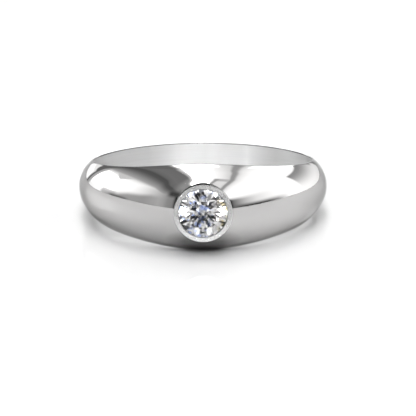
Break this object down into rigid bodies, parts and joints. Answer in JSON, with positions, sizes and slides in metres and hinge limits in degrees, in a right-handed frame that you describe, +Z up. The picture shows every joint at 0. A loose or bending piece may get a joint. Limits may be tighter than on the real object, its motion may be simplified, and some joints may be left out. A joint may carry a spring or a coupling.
{
  "type": "bezel set ring",
  "caption": "Polished domed finger ring that tapers towards its back and holds a round brilliant cut stone in a low bezel collar.",
  "frame": {"origin": "under the middle of the bounding box, on the surface that the ring lies on", "axes": "+Z up from the surface, -Y the ring's front with the stone, +X to the right as the stone is faced"},
  "size_m": [0.0196, 0.0212, 0.0065],
  "materials": {
    "white_gold": "mirror polished dome, satin inside the finger hole and on the collar's top",
    "diamond": "clear, polished facets"
  },
  "bodies": {
    "root": {"band_with_bezel": "white_gold", "stone": "diamond"}
  },
  "joints": []
}
